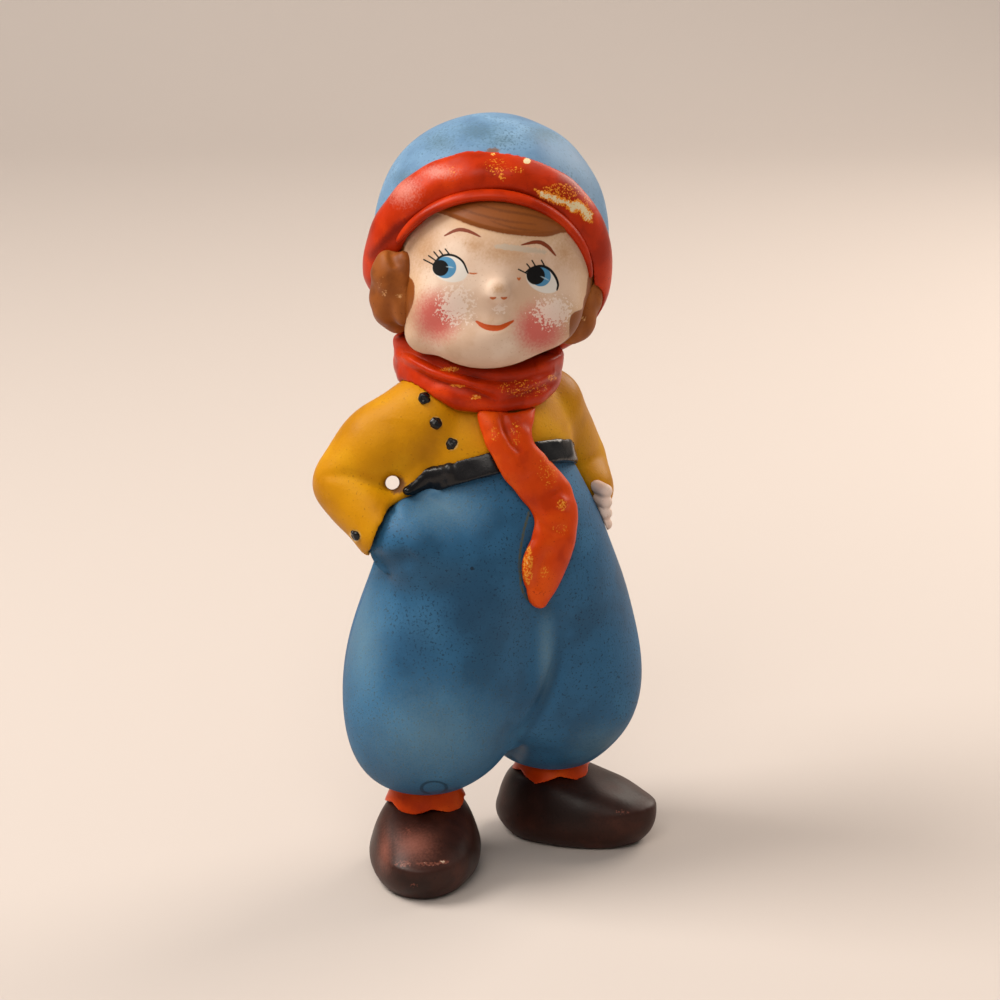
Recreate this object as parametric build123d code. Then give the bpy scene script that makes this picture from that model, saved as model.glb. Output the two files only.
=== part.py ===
"""Chalkware figure of a child in a cap, scarf, jacket, baggy trousers and wooden clogs.

Millimetres. The figure stands on z = 0 and looks towards -Y, so +X is the figure's left.
Each sculpted member is its own solid, luted face to face to the member that carries it.
Iron wires cast into the ankles tie the clogs to the trousers.
"""

from collections import namedtuple
from math import atan2, cos, degrees, radians, sin
import os

from build123d import *

RIGHT, LEFT = -1, 1

# Stance
ankle_side = 25.2  # middle of each ankle from the middle of the figure
ankle_back = 7.0
foot_splay = 35.0  # degrees that each clog turns out

# Clogs
clog_length = 54.5
clog_width = 34.0
clog_mouth_z = 22.5  # top of the clog round the ankle
clog_mouth_radius = 10.8
heel_length = 18.0  # back of the clog behind the ankle
sole_inset = 3.0  # the flat sole is smaller than the clog by this all round
right_toe_ridge_z = 12.0
left_toe_ridge_z = 13.5
heel_ridge_z = 10.0

# Socks
sock_radius = 10.5
sock_flare = 3.6  # the turned-down edge stands out by this
sock_drop = 1.5  # tips of the points below the mouth of the clog
sock_notch_depth = 2.6
sock_point_count = 5
sock_turn = -22.0  # degrees; a notch looks to the figure's front right

# Wires in the ankles
wire_diameter = 4.0
wire_foot_z = 8.0
wire_top_z = 50.0

# Trousers
right_hem_z = 28.5
left_hem_z = 26.0
hem_radius = 13.0
calf_z = 45.0
calf_side = 24.5  # middle of each leg's section from the middle of the figure
calf_half_width = 27.0
calf_half_depth = 28.0
knee_z = 66.0
knee_side = 22.5
knee_half_width = 30.5
knee_half_depth = 30.5
thigh_z = 93.0
thigh_side = 15.0
thigh_half_width = 31.0
thigh_half_depth = 29.0
hip_z = 115.0
hip_side = 6.5
hip_half_width = 31.0
hip_half_depth = 27.5
trouser_back = 5.0  # middle of the trousers behind the middle of the stance
pocket_side = 37.0  # mouth of the pocket, where the right wrist goes in
pocket_front = 2.0
pocket_z = 117.0
pocket_radius = 13.0
knuckle_side = 21.5  # right fist inside the pocket
knuckle_front = 3.5
knuckle_z = 110.0
knuckle_radius = 17.0
slack_top_z = 87.0  # slack cloth that fills the front between the thighs
slack_foot_z = 59.0
slack_back = -2.0
slack_top_radius = 17.0
slack_foot_radius = 20.0

# Waist and jacket
waist_z = 131.0
waist_tilt = 28.0  # degrees; the waist rides up over the belly
waist_half_width = 28.0
waist_half_depth = 24.0
waist_back = 7.0
chest_z = 151.0
chest_half_width = waist_half_width  # the jacket hangs straight from chest to belt
chest_half_depth = 22.5
chest_back = 9.5
shoulder_z = 161.0
shoulder_half_width = 22.5
shoulder_half_depth = 18.0
neck_z = 175.0
neck_radius = 13.0
neck_back = 12.0

# Belt
belt_height = 7.5
belt_proud = 1.4

# Sleeves
shoulder_side = 22.0
right_shoulder_z = 153.0
left_shoulder_z = 149.5
shoulder_radius = 14.0
elbow_radius = 11.5
right_elbow_side = 46.0
right_elbow_back = 20.0
right_elbow_z = 132.0
left_elbow_side = 41.0
left_elbow_back = 19.0
left_elbow_z = 125.0
wrist_radius = 9.8
right_wrist_side = 43.0
right_wrist_back = 3.5
right_wrist_z = 120.5
left_wrist_side = 38.0
left_wrist_back = 7.0
left_wrist_z = 119.0
web_thickness = 8.0
web_hole_diameter = 6.0
web_hole_turn = -33.0  # degrees; the hole looks to the figure's front right
web_hole_tip = 18.0
web_hole_out = 0.165  # place of the hole in the crook, along the upper arm and towards the wrist
web_hole_down = 0.48

# Left hand
finger_radius = 2.5
finger_length = 16.0
finger_pitch = 3.8
finger_count = 4
hand_top_z = 125.0
hand_side = 36.5
hand_back = 9.0

# Buttons
button_radius = 2.2
button_top_z = 162.0
button_pitch = 7.0
button_turn = 75.0  # degrees from the front towards the figure's right
button_turn_step = 9.0
button_sink = 1.0
button_count = 3

# Scarf
scarf_side = -1.2
scarf_z = 168.0
scarf_tilt = 9.0  # degrees; the scarf dips towards the chest
scarf_radius = 21.6  # middle of the wrapped roll
scarf_roll_radius = 5.9
scarf_fold_pitch = 4.4
tail_half_thickness = 3.2
tail_lift = 1.6  # middle of the tail off the body, so that it clears the belt

# Head
head_side = 3.7
head_back = 10.0
head_z = 200.5
head_turn = -29.0  # degrees; the head turns to the figure's right
head_pitch = -18.0  # degrees; the chin is lifted
head_roll = 5.0
head_radius = 33.0
cheek_radius = 15.0
cheek_side = 14.0
cheek_front = 13.5
cheek_drop = 13.5
nose_radius = 4.6
nose_drop = 10.5

# Hair
lock_radius = 9.0
lock_length = 19.0
lock_side = 28.0
lock_back = -1.0
lock_drop = 6.0
hair_offset = -1.4  # hair and cap sit a little to the figure's right
fringe_thickness = 1.5
fringe_edge_z = 10.0
fringe_slant = 6.0  # degrees; the fringe hangs lower over the left eye

# Cap
cap_tilt = 53.0  # degrees; the brim frames the face from nape to forehead
cap_offset = -2.0
brim_radius = 31.4
brim_roll_radius = 8.8
brim_rise = -1.6  # middle of the brim's roll from the head's middle, towards the back of the cap
band_front = -15.0  # front edge of the band, from the head's middle
band_thickness = 1.6
crown_radius = 38.0
crown_offset = -1.2
crown_tuck = 3.0  # the crown runs under the middle of the brim by this
crown_back = 9.0
crown_rise = 11.2

crumb_share = 0.12  # a piece smaller than this share of a member is waste from the cutting

Oval = namedtuple("Oval", "side back z half_width half_depth")
Station = namedtuple("Station", "side z half_width")

tail_stations = [
    Station(-8.0, 160.0, 6.0),
    Station(-6.0, 149.0, 9.0),
    Station(1.5, 135.0, 8.5),
    Station(6.5, 124.5, 8.5),
    Station(3.0, 113.0, 8.5),
    Station(0.0, 103.0, 7.6),
    Station(-0.5, 97.5, 4.6),
    Station(-0.5, 94.5, 1.6),
]


def oval_loft(ovals):
    """Limb or trunk through level elliptical sections."""
    return loft([Pos(o.side, o.back, o.z) * Ellipse(o.half_width, o.half_depth) for o in ovals])


def tapered_limb(start, start_radius, end, end_radius):
    """Round limb with hemispherical ends, from one joint to the next."""
    start, end = Vector(start), Vector(end)
    length = (end - start).length
    near = start_radius * cos(radians(45))
    far = end_radius * cos(radians(45))
    outline = Line((0, length + end_radius), (0, -start_radius))
    outline += ThreePointArc((0, -start_radius), (near, -near), (start_radius, 0))
    outline += Line((start_radius, 0), (end_radius, length))
    outline += ThreePointArc((end_radius, length), (far, length + far), (0, length + end_radius))
    limb = revolve(make_face(outline), Axis.Y)
    return Plane(origin=start, z_dir=end - start).location * Rot(X=90) * limb


# Clogs, socks and wires


def foot_outline(half_width, toe, heel, middle):
    """Egg-shaped section of a clog: a long half ellipse to the toe and a short one to the heel."""
    outline = EllipticalCenterArc((0, middle), half_width, toe, 180, arc_size=180)
    outline += EllipticalCenterArc((0, middle), half_width, heel, 0, arc_size=180)
    return make_face(outline)


def clog(side):
    """Wooden shoe: a belly that swells up from the sole, and a vamp that rises from the toe ridge."""
    toe_ridge_z = right_toe_ridge_z if side == RIGHT else left_toe_ridge_z
    half_width = clog_width / 2
    middle = heel_length - clog_length * 0.43
    toe = clog_length + middle - heel_length
    heel = heel_length - middle
    ridge_z = (toe_ridge_z + heel_ridge_z) / 2
    ridge_slope = degrees(atan2(toe_ridge_z - heel_ridge_z, clog_length))
    vamp_z = ridge_z + (clog_mouth_z - ridge_z) * 0.62

    sole = foot_outline(half_width - sole_inset, toe - 2 * sole_inset, heel - sole_inset, middle)
    welt = foot_outline(half_width - sole_inset / 4, toe - sole_inset, heel - sole_inset / 4, middle)
    ridge = foot_outline(half_width, toe, heel, middle)
    vamp = foot_outline(half_width * 0.9, toe * 0.66, heel * 0.93, middle)
    mouth = foot_outline(clog_mouth_radius, clog_mouth_radius, clog_mouth_radius, 0)

    ridge = Pos(0, 0, ridge_z) * Rot(X=-ridge_slope) * ridge
    lower = loft([sole, Pos(0, 0, heel_ridge_z / 3) * welt, ridge])
    upper = loft([ridge, Pos(0, 0, vamp_z) * vamp, Pos(0, 0, clog_mouth_z) * mouth])
    return Pos(side * ankle_side, ankle_back, 0) * Rot(Z=side * foot_splay) * (lower + upper)


def ankle_wire(side):
    length = wire_top_z - wire_foot_z
    return Pos(side * ankle_side, ankle_back, wire_foot_z + length / 2) * Cylinder(wire_diameter / 2, length)


def sock(side):
    """Turned-down sock whose edge is cut in points that lie on the clog."""
    hem_z = right_hem_z if side == RIGHT else left_hem_z
    edge_radius = sock_radius + sock_flare
    edge_z = clog_mouth_z - sock_drop
    turned_down = loft([Circle(edge_radius), Pos(0, 0, hem_z + 1.0 - edge_z) * Circle(sock_radius)])
    half_notch = edge_radius * sin(radians(180 / sock_point_count))
    notch = make_face(Polyline((-half_notch, 0), (half_notch, 0), (0, sock_notch_depth), close=True))
    cutter = extrude(Plane.XZ * notch, 2 * edge_radius) - Cylinder(sock_radius - 1.0, 4 * edge_radius)
    for step in range(sock_point_count):
        turned_down -= Rot(Z=sock_turn + 360 / sock_point_count * step) * cutter
    return Pos(side * ankle_side, ankle_back, edge_z) * turned_down


# Trousers


def leg(side):
    """One baggy trouser leg, gathered at the ankle and running up into the shared waist."""
    hem_z = right_hem_z if side == RIGHT else left_hem_z
    cuff_z = hem_z + (calf_z - hem_z) * 0.28
    cuff_half = (hem_radius + calf_half_width) / 2
    sections = [
        Oval(ankle_side, ankle_back, hem_z, hem_radius, hem_radius),
        Oval(ankle_side, ankle_back, cuff_z, cuff_half, cuff_half),
        Oval(calf_side, trouser_back, calf_z, calf_half_width, calf_half_depth),
        Oval(knee_side, trouser_back, knee_z, knee_half_width, knee_half_depth),
        Oval(thigh_side, trouser_back, thigh_z, thigh_half_width, thigh_half_depth),
        Oval(hip_side, trouser_back, hip_z, hip_half_width, hip_half_depth),
        Oval(0, waist_back, waist_z + 4.0, waist_half_width, waist_half_depth),
        Oval(0, waist_back, waist_z + 20.0, waist_half_width - 3.0, waist_half_depth - 3.0),
    ]
    whole = oval_loft([oval._replace(side=side * oval.side) for oval in sections])
    return split(whole, bisect_by=Plane.YZ, keep=Keep.TOP if side == LEFT else Keep.BOTTOM)


def pocket_bulge():
    """Right hand, pushed forwards and down inside its pocket."""
    mouth = (-pocket_side, -pocket_front, pocket_z)
    fist = (-knuckle_side, -knuckle_front, knuckle_z)
    return tapered_limb(mouth, pocket_radius, fist, knuckle_radius)


def slack_fold():
    """Slack of the seat, hanging forwards between the thighs."""
    top = (0, slack_back, slack_top_z)
    return tapered_limb(top, slack_top_radius, (0, slack_back, slack_foot_z), slack_foot_radius)


def waist_plane(rise=0.0):
    """Plane of the waist; its normal points to the head."""
    normal = Vector(0, sin(radians(waist_tilt)), cos(radians(waist_tilt)))
    return Plane(origin=Vector(0, waist_back, waist_z) + normal * rise, x_dir=(1, 0, 0), z_dir=normal)


def trousers():
    whole = leg(RIGHT) + leg(LEFT) + slack_fold() + pocket_bulge()
    return split(whole, bisect_by=waist_plane(), keep=Keep.BOTTOM)


# Jacket, belt, hand and buttons


def jacket_trunk():
    sections = [
        Oval(0, waist_back, waist_z - 24.0, waist_half_width, waist_half_depth),
        Oval(0, waist_back, waist_z, waist_half_width, waist_half_depth),
        Oval(0, chest_back, chest_z, chest_half_width, chest_half_depth),
        Oval(0, neck_back - 1.0, shoulder_z, shoulder_half_width, shoulder_half_depth),
        Oval(0, neck_back, neck_z, neck_radius, neck_radius),
    ]
    return split(oval_loft(sections), bisect_by=waist_plane(), keep=Keep.TOP)


def sleeve(shoulder, elbow, wrist):
    upper = tapered_limb(shoulder, shoulder_radius, elbow, elbow_radius)
    return upper + tapered_limb(elbow, elbow_radius, wrist, wrist_radius)


def right_sleeve():
    """Arm akimbo; the plaster that fills its crook is pierced by a small round hole."""
    shoulder = Vector(-shoulder_side, neck_back - 2.0, right_shoulder_z)
    elbow = Vector(-right_elbow_side, right_elbow_back, right_elbow_z)
    wrist = Vector(-right_wrist_side, right_wrist_back, right_wrist_z)
    outward, downward = elbow - shoulder, wrist - shoulder
    inner = shoulder + downward * 0.75 - outward * 0.45
    web = extrude(make_face(Polyline(shoulder, elbow, wrist, inner, close=True)), web_thickness / 2, both=True)
    turn, tip = radians(web_hole_turn), radians(web_hole_tip)
    sight = Vector(-sin(turn) * cos(tip), cos(turn) * cos(tip), -sin(tip))
    hole_at = shoulder + outward * web_hole_out + downward * web_hole_down
    hole = Plane(origin=hole_at, z_dir=sight).location * Cylinder(web_hole_diameter / 2, 4 * elbow_radius)
    return sleeve(shoulder, elbow, wrist) + web - hole


def left_sleeve():
    shoulder = Vector(shoulder_side, neck_back - 2.0, left_shoulder_z)
    elbow = Vector(left_elbow_side, left_elbow_back, left_elbow_z)
    wrist = Vector(left_wrist_side, left_wrist_back, left_wrist_z)
    return sleeve(shoulder, elbow, wrist)


def belt():
    """Strap round the waist, half on the trousers and half on the jacket."""
    half_depth = waist_half_depth / cos(radians(waist_tilt))
    outline = Ellipse(waist_half_width + belt_proud, half_depth + belt_proud)
    return extrude(waist_plane(-belt_height / 2) * outline, belt_height)


def left_hand():
    """Hand on the hip: a palm with four fingers that point forwards."""
    half_height = (finger_count - 1) / 2 * finger_pitch + finger_radius
    palm_z = hand_top_z - half_height
    hand = tapered_limb(
        (hand_side, hand_back, palm_z + finger_pitch), 5.0, (hand_side, hand_back, palm_z - finger_pitch), 4.5
    )
    for step in range(finger_count):
        z = hand_top_z - finger_radius - finger_pitch * step
        root = (hand_side, hand_back, z)
        tip = (hand_side, hand_back - finger_length, z)
        hand += tapered_limb(root, finger_radius, tip, finger_radius * 0.9)
    return hand


# Head, hair and cap


def head_frame():
    """Local frame of the head: -Y out of the face and +Z to the top."""
    return Pos(head_side, head_back, head_z) * Rot(Z=head_turn) * Rot(X=head_pitch) * Rot(Y=head_roll)


def cap_frame():
    """Local frame of the cap: +Z from the face to the back of the cap."""
    return head_frame() * Pos(cap_offset, 0, 0) * Rot(X=-cap_tilt)


def head():
    """Round head with full cheeks and a button nose."""
    face = Sphere(head_radius)
    for side in (RIGHT, LEFT):
        face += Pos(side * cheek_side, -cheek_front, -cheek_drop) * Sphere(cheek_radius)
    face += Pos(0, -head_radius * 0.93, -nose_drop) * Sphere(nose_radius)
    return head_frame() * face


def hair_lock(side):
    """Rounded bob of hair beside the cheek."""
    x = hair_offset + side * lock_side
    top = (x, lock_back, -lock_drop + lock_length / 2)
    foot = (x, lock_back, -lock_drop - lock_length / 2)
    return head_frame() * tapered_limb(top, lock_radius, foot, lock_radius)


def fringe():
    """Hair across the forehead, thin over the skull."""
    edge = Plane(
        origin=(0, 0, fringe_edge_z),
        x_dir=(1, 0, 0),
        z_dir=(sin(radians(fringe_slant)), 0, cos(radians(fringe_slant))),
    )
    above = split(Sphere(head_radius + fringe_thickness), bisect_by=edge, keep=Keep.TOP)
    return head_frame() * split(above, bisect_by=Plane.XZ, keep=Keep.TOP)


def above_scarf(member):
    """Part of a cap member above the middle of the scarf and outside its ring."""
    core = scarf_frame() * Cylinder(scarf_radius, 4 * scarf_roll_radius)
    return split(member, bisect_by=Plane(scarf_frame()), keep=Keep.TOP) - core


def brim():
    """Rolled brim that frames the face."""
    return above_scarf(cap_frame() * Pos(0, 0, brim_rise) * Rot(Z=90) * Torus(brim_radius, brim_roll_radius))


def band():
    """Flat band that shows inside the brim."""
    length = brim_rise - band_front
    outer = (head_radius**2 - band_front**2) ** 0.5 + band_thickness
    ring = head_frame() * Rot(X=-cap_tilt) * Pos(0, 0, band_front + length / 2) * Cylinder(outer, length)
    return above_scarf(ring)


def crown():
    """Dome of the cap, from the brim back to the nape."""
    dome = head_frame() * Pos(crown_offset, crown_back, crown_rise) * Sphere(crown_radius)
    return split(dome, bisect_by=Plane(cap_frame() * Pos(0, 0, brim_rise - crown_tuck)), keep=Keep.TOP)


# Scarf


def scarf_frame():
    return Pos(scarf_side, neck_back, scarf_z) * Rot(X=scarf_tilt)


def scarf_fold(keep):
    """One of two rolls round the neck that press on each other in a flat seam."""
    rise = scarf_fold_pitch / 2 if keep == Keep.TOP else -scarf_fold_pitch / 2
    roll = Pos(0, 0, rise) * Torus(scarf_radius, scarf_roll_radius)
    return scarf_frame() * split(roll, bisect_by=Plane.XY, keep=keep)


def surface_point(body, start, toward):
    """Outermost point of a body along a ray."""
    ray = Line(start, Vector(start) + Vector(toward).normalized() * 200)
    ends = [point for edge in body.intersect(ray).edges() for point in (edge @ 0, edge @ 1)]
    return max(ends, key=lambda point: (point - Vector(start)).length)


def scarf_tail(body):
    """Loose end of the scarf, lying on the chest and over the belt and the belly."""
    lift = Vector(0, -tail_lift, 0)
    points = [surface_point(body, (t.side, waist_back, t.z), (0, -1, 0)) + lift for t in tail_stations]
    sections = []
    for index, station in enumerate(tail_stations):
        along = points[min(index + 1, len(points) - 1)] - points[max(index - 1, 0)]
        across = Vector(1, 0, 0) - along * (along.X / along.dot(along))
        place = Plane(origin=points[index], x_dir=across, z_dir=along)
        sections.append(place * Ellipse(station.half_width, tail_half_thickness))
    return loft(sections)


def button(point, outward):
    """Domed stud, sunk in the surface that carries it."""
    return Pos(point - Vector(outward).normalized() * button_sink) * Sphere(button_radius)


def chest_buttons(body):
    studs = []
    for step in range(button_count):
        turn = radians(button_turn - button_turn_step * step)
        outward = (-sin(turn), -cos(turn), 0)
        start = (0, chest_back, button_top_z - button_pitch * step)
        studs.append(button(surface_point(body, start, outward), outward))
    return studs


def cuff_button(body):
    outward = (-1, -0.2, -0.1)
    start = (-right_wrist_side, right_wrist_back + 2.0, right_wrist_z + 1.0)
    return button(surface_point(body, start, outward), outward)


def members():
    """Every member in full, before the members that carry it are cut out of it."""
    legs, trunk, arm = trousers(), jacket_trunk(), right_sleeve()
    return {
        "right_leg_wire": ankle_wire(RIGHT),
        "left_leg_wire": ankle_wire(LEFT),
        "right_clog": clog(RIGHT),
        "left_clog": clog(LEFT),
        "trousers": legs,
        "right_sock": sock(RIGHT),
        "left_sock": sock(LEFT),
        "head": head(),
        "jacket_body": trunk,
        "right_sleeve": arm,
        "left_sleeve": left_sleeve(),
        "left_hand": left_hand(),
        "jacket_buttons": chest_buttons(trunk + arm) + [cuff_button(arm)],
        "scarf_lower_fold": scarf_fold(Keep.BOTTOM),
        "scarf_upper_fold": scarf_fold(Keep.TOP),
        "scarf_tail": scarf_tail(trunk + legs),
        "belt": belt(),
        "right_hair_lock": hair_lock(RIGHT),
        "left_hair_lock": hair_lock(LEFT),
        "cap_crown": crown(),
        "cap_brim": brim(),
        "cap_band": band(),
        "hair_fringe": fringe(),
    }


neck_members = ["head", "jacket_body", "right_sleeve", "left_sleeve"]
scarf_members = ["scarf_upper_fold", "scarf_lower_fold"]
lock_members = ["right_hair_lock", "left_hair_lock"]
carriers = {
    "right_clog": ["right_leg_wire"],
    "left_clog": ["left_leg_wire"],
    "trousers": ["right_leg_wire", "left_leg_wire"],
    "right_sock": ["right_leg_wire", "right_clog", "trousers"],
    "left_sock": ["left_leg_wire", "left_clog", "trousers"],
    "jacket_body": ["head"],
    "right_sleeve": ["jacket_body", "trousers"],
    "left_sleeve": ["jacket_body", "trousers"],
    "left_hand": ["trousers", "left_sleeve"],
    "jacket_buttons": ["jacket_body", "right_sleeve", "scarf_lower_fold"],
    "scarf_lower_fold": neck_members,
    "scarf_upper_fold": neck_members,
    "scarf_tail": ["jacket_body", "trousers", *scarf_members],
    "belt": ["jacket_body", "trousers", "right_sleeve", "left_sleeve", "scarf_tail"],
    "right_hair_lock": ["head", *scarf_members],
    "left_hair_lock": ["head", *scarf_members],
    "cap_crown": [*neck_members, *scarf_members, *lock_members],
    "cap_brim": ["head", "cap_crown", *lock_members, *scarf_members],
    "cap_band": ["head", "cap_crown", *lock_members, *scarf_members, "cap_brim"],
    "hair_fringe": ["head", *lock_members, "cap_crown", "cap_brim", "cap_band"],
}


def seated(solid, tools):
    """What is left of a solid outside the members that carry it, without crumbs."""
    pieces = [solid]
    for tool in tools:
        pieces = [rest for piece in pieces for rest in (piece - tool).solids()]
    largest = max(piece.volume for piece in pieces)
    return [piece for piece in pieces if piece.volume > crumb_share * largest]


def build():
    """Seated members, with the middle of the figure's plan on the origin."""
    whole = members()
    pieces = {}
    for name, shape in whole.items():
        tools = [whole[carrier] for carrier in carriers.get(name, [])]
        raw = shape if isinstance(shape, list) else [shape]
        pieces[name] = [piece for solid in raw for piece in seated(solid, tools)]
    boxes = [piece.bounding_box() for solids in pieces.values() for piece in solids]
    middle_x = (min(box.min.X for box in boxes) + max(box.max.X for box in boxes)) / 2
    middle_y = (min(box.min.Y for box in boxes) + max(box.max.Y for box in boxes)) / 2
    shift = Pos(-middle_x, -middle_y, 0)
    return {name: Compound([shift * piece for piece in solids]) for name, solids in pieces.items()}


if __name__ == "__main__":
    os.makedirs("parts", exist_ok=True)
    for name, shape in build().items():
        export_step(shape, f"parts/{name}.step")
        print(name, round(shape.volume), shape.is_valid, len(shape.solids()))
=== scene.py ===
import math

import bmesh
import bpy
import numpy as np
from mathutils import Matrix, Vector


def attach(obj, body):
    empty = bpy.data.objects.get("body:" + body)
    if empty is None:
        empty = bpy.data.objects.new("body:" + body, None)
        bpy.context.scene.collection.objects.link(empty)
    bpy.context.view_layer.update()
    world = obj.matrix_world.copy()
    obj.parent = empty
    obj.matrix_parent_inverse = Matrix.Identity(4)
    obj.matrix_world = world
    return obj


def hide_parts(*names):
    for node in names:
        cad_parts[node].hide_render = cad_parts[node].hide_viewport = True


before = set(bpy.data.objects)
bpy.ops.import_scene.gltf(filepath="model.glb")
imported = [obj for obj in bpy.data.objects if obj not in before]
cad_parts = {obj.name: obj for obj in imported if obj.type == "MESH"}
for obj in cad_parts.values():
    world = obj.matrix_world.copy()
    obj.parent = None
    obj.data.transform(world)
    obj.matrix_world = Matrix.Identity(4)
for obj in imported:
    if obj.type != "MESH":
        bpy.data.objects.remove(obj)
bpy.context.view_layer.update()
print("frame loaded:", len(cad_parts), "nodes")
mmInM = 1000.0  # the scene is in m, the sizes below are in mm

# View: the eye that the picture was taken with, fitted to the standing figure
view = {
    "azimuth": -33.0,  # degrees round from the front, towards the figure's right
    "elevation": 18.0,
    "distance": 1100.0,  # mm from the eye to the aim
    "aim": (1.58, -15.62, 124.0),  # mm; the middle of the picture
    "focal": 3385.0,  # px, in a picture 1000 px wide
    "picture": 1000.0,
    "sensor": 36.0,  # mm
}
turn, tip = math.radians(view["azimuth"]), math.radians(view["elevation"])
viewRight = np.array((math.cos(turn), math.sin(turn), 0.0))
viewAway = np.array((-math.sin(turn) * math.cos(tip), math.cos(turn) * math.cos(tip), -math.sin(tip)))
viewUp = np.cross(viewRight, viewAway)
eye = np.array(view["aim"]) - viewAway * view["distance"]
pxPerMm = view["focal"] / view["distance"]


def placeCamera():
    lens = bpy.data.cameras.new("camera")
    lens.sensor_width = view["sensor"]
    lens.lens = view["sensor"] * view["focal"] / view["picture"]
    camera = bpy.data.objects.new("camera", lens)
    bpy.context.scene.collection.objects.link(camera)
    axes = Matrix((viewRight, viewUp, -viewAway)).transposed().to_4x4()
    camera.matrix_world = Matrix.Translation(Vector(eye) / mmInM) @ axes
    bpy.context.scene.camera = camera


def onPicture(co):  # picture place, in px, of points in mm
    rel = co - eye
    depth = rel @ viewAway
    half = view["picture"] / 2
    x = half + view["focal"] * (rel @ viewRight) / depth
    y = half - view["focal"] * (rel @ viewUp) / depth
    return np.stack((x, y), 1)


# Mesh tools, in mm


def places(obj):
    flat = np.empty(3 * len(obj.data.vertices), np.float32)
    obj.data.vertices.foreach_get("co", flat)
    return flat.reshape(-1, 3).astype(float) * mmInM


def move(obj, co):
    obj.data.vertices.foreach_set("co", (co / mmInM).astype(np.float32).ravel())
    obj.data.update()


def outward(obj):
    flat = np.empty(3 * len(obj.data.vertices), np.float32)
    obj.data.vertex_normals.foreach_get("vector", flat)
    return flat.reshape(-1, 3).astype(float)


def edgeEnds(obj):
    flat = np.empty(2 * len(obj.data.edges), np.int32)
    obj.data.edges.foreach_get("vertices", flat)
    return flat.reshape(-1, 2).T


def store(obj, name, values):
    layer = obj.data.attributes.get(name) or obj.data.attributes.new(name, "FLOAT", "POINT")
    layer.data.foreach_set("value", np.asarray(values, np.float32))


def ease(values, low, high):  # smooth step from 0 at low to 1 at high
    t = np.clip((values - low) / (high - low), 0, 1)
    return t * t * (3 - 2 * t)


faceOn = 0.2  # cosine from which a surface faces the eye
hideMarks = 40.0  # px taken off painted marks on the side turned from the eye
hidePatches = 3.0  # the same for patches, whose middle counts 1
rubGive = 0.5  # share of the way to its neighbours' middle that a point goes in one rub
ridgeStart = 0.3  # share of a ridge's height from which it wears


def seen(obj, co):  # 1 where the surface faces the eye, 0 where it turns away
    ray = co - eye
    ray /= np.linalg.norm(ray, axis=1)[:, None]
    return ease(-(outward(obj) * ray).sum(1), 0.0, faceOn)


def pictured(obj):  # where each point lies on the picture, and how far it faces the eye
    co = places(obj)
    return onPicture(co), seen(obj, co)


def evened(obj, co, steps, hold=0.0):  # places after rubbing the surface down
    a, b = edgeEnds(obj)
    count = len(co)
    joined = np.bincount(a, minlength=count) + np.bincount(b, minlength=count)
    give = rubGive * (1 - hold) / np.maximum(joined, 1)
    co = co.copy()
    for _ in range(steps):
        for axis in range(3):
            line = co[:, axis]
            pulled = np.bincount(a, line[b], count) + np.bincount(b, line[a], count)
            co[:, axis] = line + give * (pulled - joined * line)
    return co


def weather(obj, steps, worn=0.0, ridge=0.0, ridgeMm=0.3):  # dirt and painted shade in the hollows, wear on the ridges
    co = places(obj)
    below = ((evened(obj, co, steps) - co) * outward(obj)).sum(1)
    store(obj, "hollow", below)
    store(obj, "wear", np.maximum(ridge * ease(-below, ridgeStart * ridgeMm, ridgeMm), worn))


def keepLargest(shape, share):  # drops loose shells that the remesh leaves inside
    left = set(shape.verts)
    shells = []
    while left:
        stack = [left.pop()]
        shell = list(stack)
        while stack:
            for edge in stack.pop().link_edges:
                for vert in edge.verts:
                    if vert in left:
                        left.remove(vert)
                        stack.append(vert)
                        shell.append(vert)
        shells.append(shell)
    largest = max(len(shell) for shell in shells)
    crumbs = [vert for shell in shells if len(shell) < share * largest for vert in shell]
    bmesh.ops.delete(shape, geom=crumbs, context="VERTS")


def linked(name, shape):
    mesh = bpy.data.meshes.new(name)
    shape.to_mesh(mesh)
    shape.free()
    mesh.polygons.foreach_set("use_smooth", np.ones(len(mesh.polygons), bool))
    obj = bpy.data.objects.new(name, mesh)
    bpy.context.scene.collection.objects.link(obj)
    return obj


def castFrom(name, nodes, voxel, rub, lumps=(), share=0.1):  # one plaster skin over some members
    shape = bmesh.new()
    for node in nodes:
        shape.from_mesh(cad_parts[node].data)
    for lump in lumps:
        size = Matrix.Diagonal(Vector(lump["radii"]) / mmInM).to_4x4()
        at = Matrix.Translation(Vector(lump["at"]) / mmInM)
        bmesh.ops.create_uvsphere(shape, u_segments=48, v_segments=32, radius=1, matrix=at @ size)
    raw = linked(name + "Raw", shape)
    remesh = raw.modifiers.new("plaster", "REMESH")
    remesh.mode = "VOXEL"
    remesh.voxel_size = voxel / mmInM
    skin = bpy.data.meshes.new_from_object(raw.evaluated_get(bpy.context.evaluated_depsgraph_get()))
    bpy.data.objects.remove(raw)
    shape = bmesh.new()
    shape.from_mesh(skin)
    keepLargest(shape, share)
    obj = linked(name, shape)
    move(obj, evened(obj, places(obj), rub))
    print(name, "cast:", len(obj.data.polygons), "faces")
    return obj


def fitted(obj, finish, slotName, *nodes):
    obj.data.materials.clear()
    obj.data.materials.append(finish)
    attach(obj, "root")
    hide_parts(*nodes)


# Marks placed on the picture, in px

brushSwell = 0.6  # power; how soon a brush stroke swells from its ends
foldSwell = 0.5  # the same for a pressed fold
patchFade = 0.5  # share of a patch over which its wear fades in
handwork = {"waves": 9, "spread": (0.7, 1.6)}  # swells that are added up, and how much their sizes differ


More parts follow.
